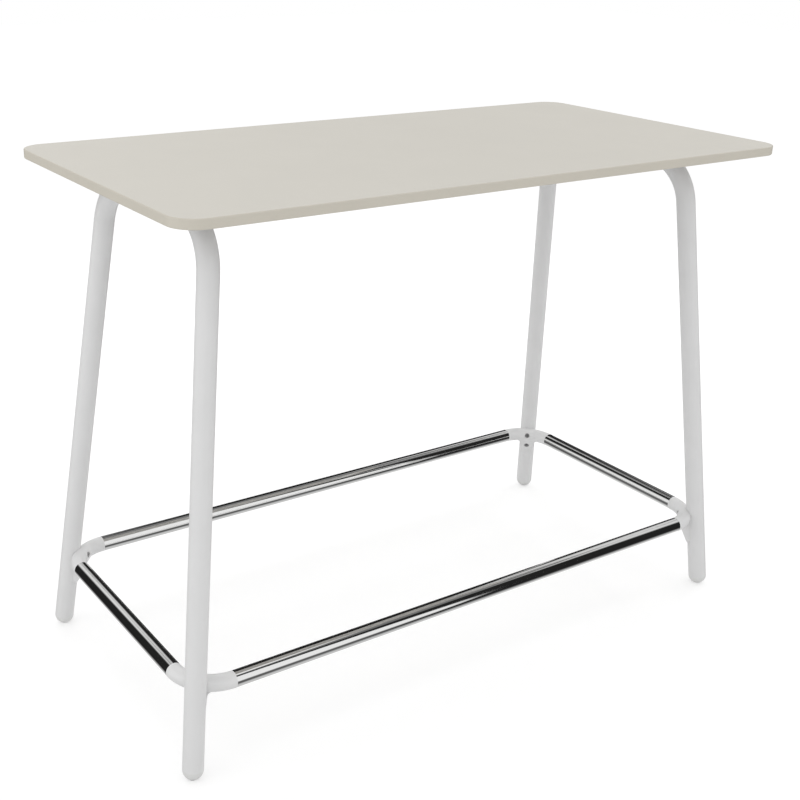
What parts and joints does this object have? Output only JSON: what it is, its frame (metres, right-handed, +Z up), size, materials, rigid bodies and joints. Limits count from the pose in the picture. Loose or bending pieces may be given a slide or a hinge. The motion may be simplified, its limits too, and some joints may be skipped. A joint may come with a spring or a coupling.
{
  "type": "standing meeting table",
  "caption": "High rectangular meeting table: laminated top with rounded corners on splayed bent-tube leg frames, tied low down by a footrest ring of chrome tubes and cast elbows.",
  "frame": {"origin": "on the floor, under the middle of the tabletop", "axes": "+X along the tabletop, +Y to its back, +Z up"},
  "size_m": [1.4, 0.7, 1.05],
  "materials": {
    "top_laminate": "matt high-pressure laminate in a plain warm light grey",
    "edge_band": "matt plastic edge band in the laminate's colour, with rounded arrises",
    "core_board": "raw particle board, hidden",
    "balance_sheet": "matt backing sheet, plain light grey",
    "powder_coated_tube": "satin off-white powder coat on steel tube",
    "powder_coated_casting": "satin off-white powder coat on a casting",
    "powder_coated_steel": "satin off-white powder coat on steel plate and rail",
    "chrome_tube": "bright polished chrome on steel tube",
    "dark_screw": "blackened steel socket-head screw",
    "zinc_steel": "zinc-plated steel",
    "glide_plastic": "satin off-white moulded plastic",
    "pad_plastic": "grey plastic sliding pad"
  },
  "bodies": {
    "root": {"balance_sheet": "balance_sheet", "edge_band": "edge_band", "floor_pad_back_left": "pad_plastic", "floor_pad_back_right": "pad_plastic", "floor_pad_front_left": "pad_plastic", "floor_pad_front_right": "pad_plastic", "foot_glide_back_left": "glide_plastic", "foot_glide_back_right": "glide_plastic", "foot_glide_front_left": "glide_plastic", "foot_glide_front_right": "glide_plastic", "footrest_elbow_back_left": "powder_coated_casting", "footrest_elbow_back_right": "powder_coated_casting", "footrest_elbow_front_left": "powder_coated_casting", "footrest_elbow_front_right": "powder_coated_casting", "footrest_screws_back_left": "dark_screw", "footrest_screws_back_right": "dark_screw", "footrest_screws_front_left": "dark_screw", "footrest_screws_front_right": "dark_screw", "footrest_tube_back": "chrome_tube", "footrest_tube_front": "chrome_tube", "footrest_tube_left": "chrome_tube", "footrest_tube_right": "chrome_tube", "leg_frame_left": "powder_coated_tube", "leg_frame_right": "powder_coated_tube", "leg_plate_left": "powder_coated_steel", "leg_plate_right": "powder_coated_steel", "rail_back": "powder_coated_steel", "rail_front": "powder_coated_steel", "rail_plate_back": "powder_coated_steel", "rail_plate_front": "powder_coated_steel", "rail_screws": "zinc_steel", "rail_spigot_back_left": "powder_coated_steel", "rail_spigot_back_right": "powder_coated_steel", "rail_spigot_front_left": "powder_coated_steel", "rail_spigot_front_right": "powder_coated_steel", "rivet_nuts_back_left": "zinc_steel", "rivet_nuts_back_right": "zinc_steel", "rivet_nuts_front_left": "zinc_steel", "rivet_nuts_front_right": "zinc_steel", "tabletop_core": "core_board", "tabletop_screws": "zinc_steel", "top_laminate": "top_laminate"}
  },
  "joints": []
}
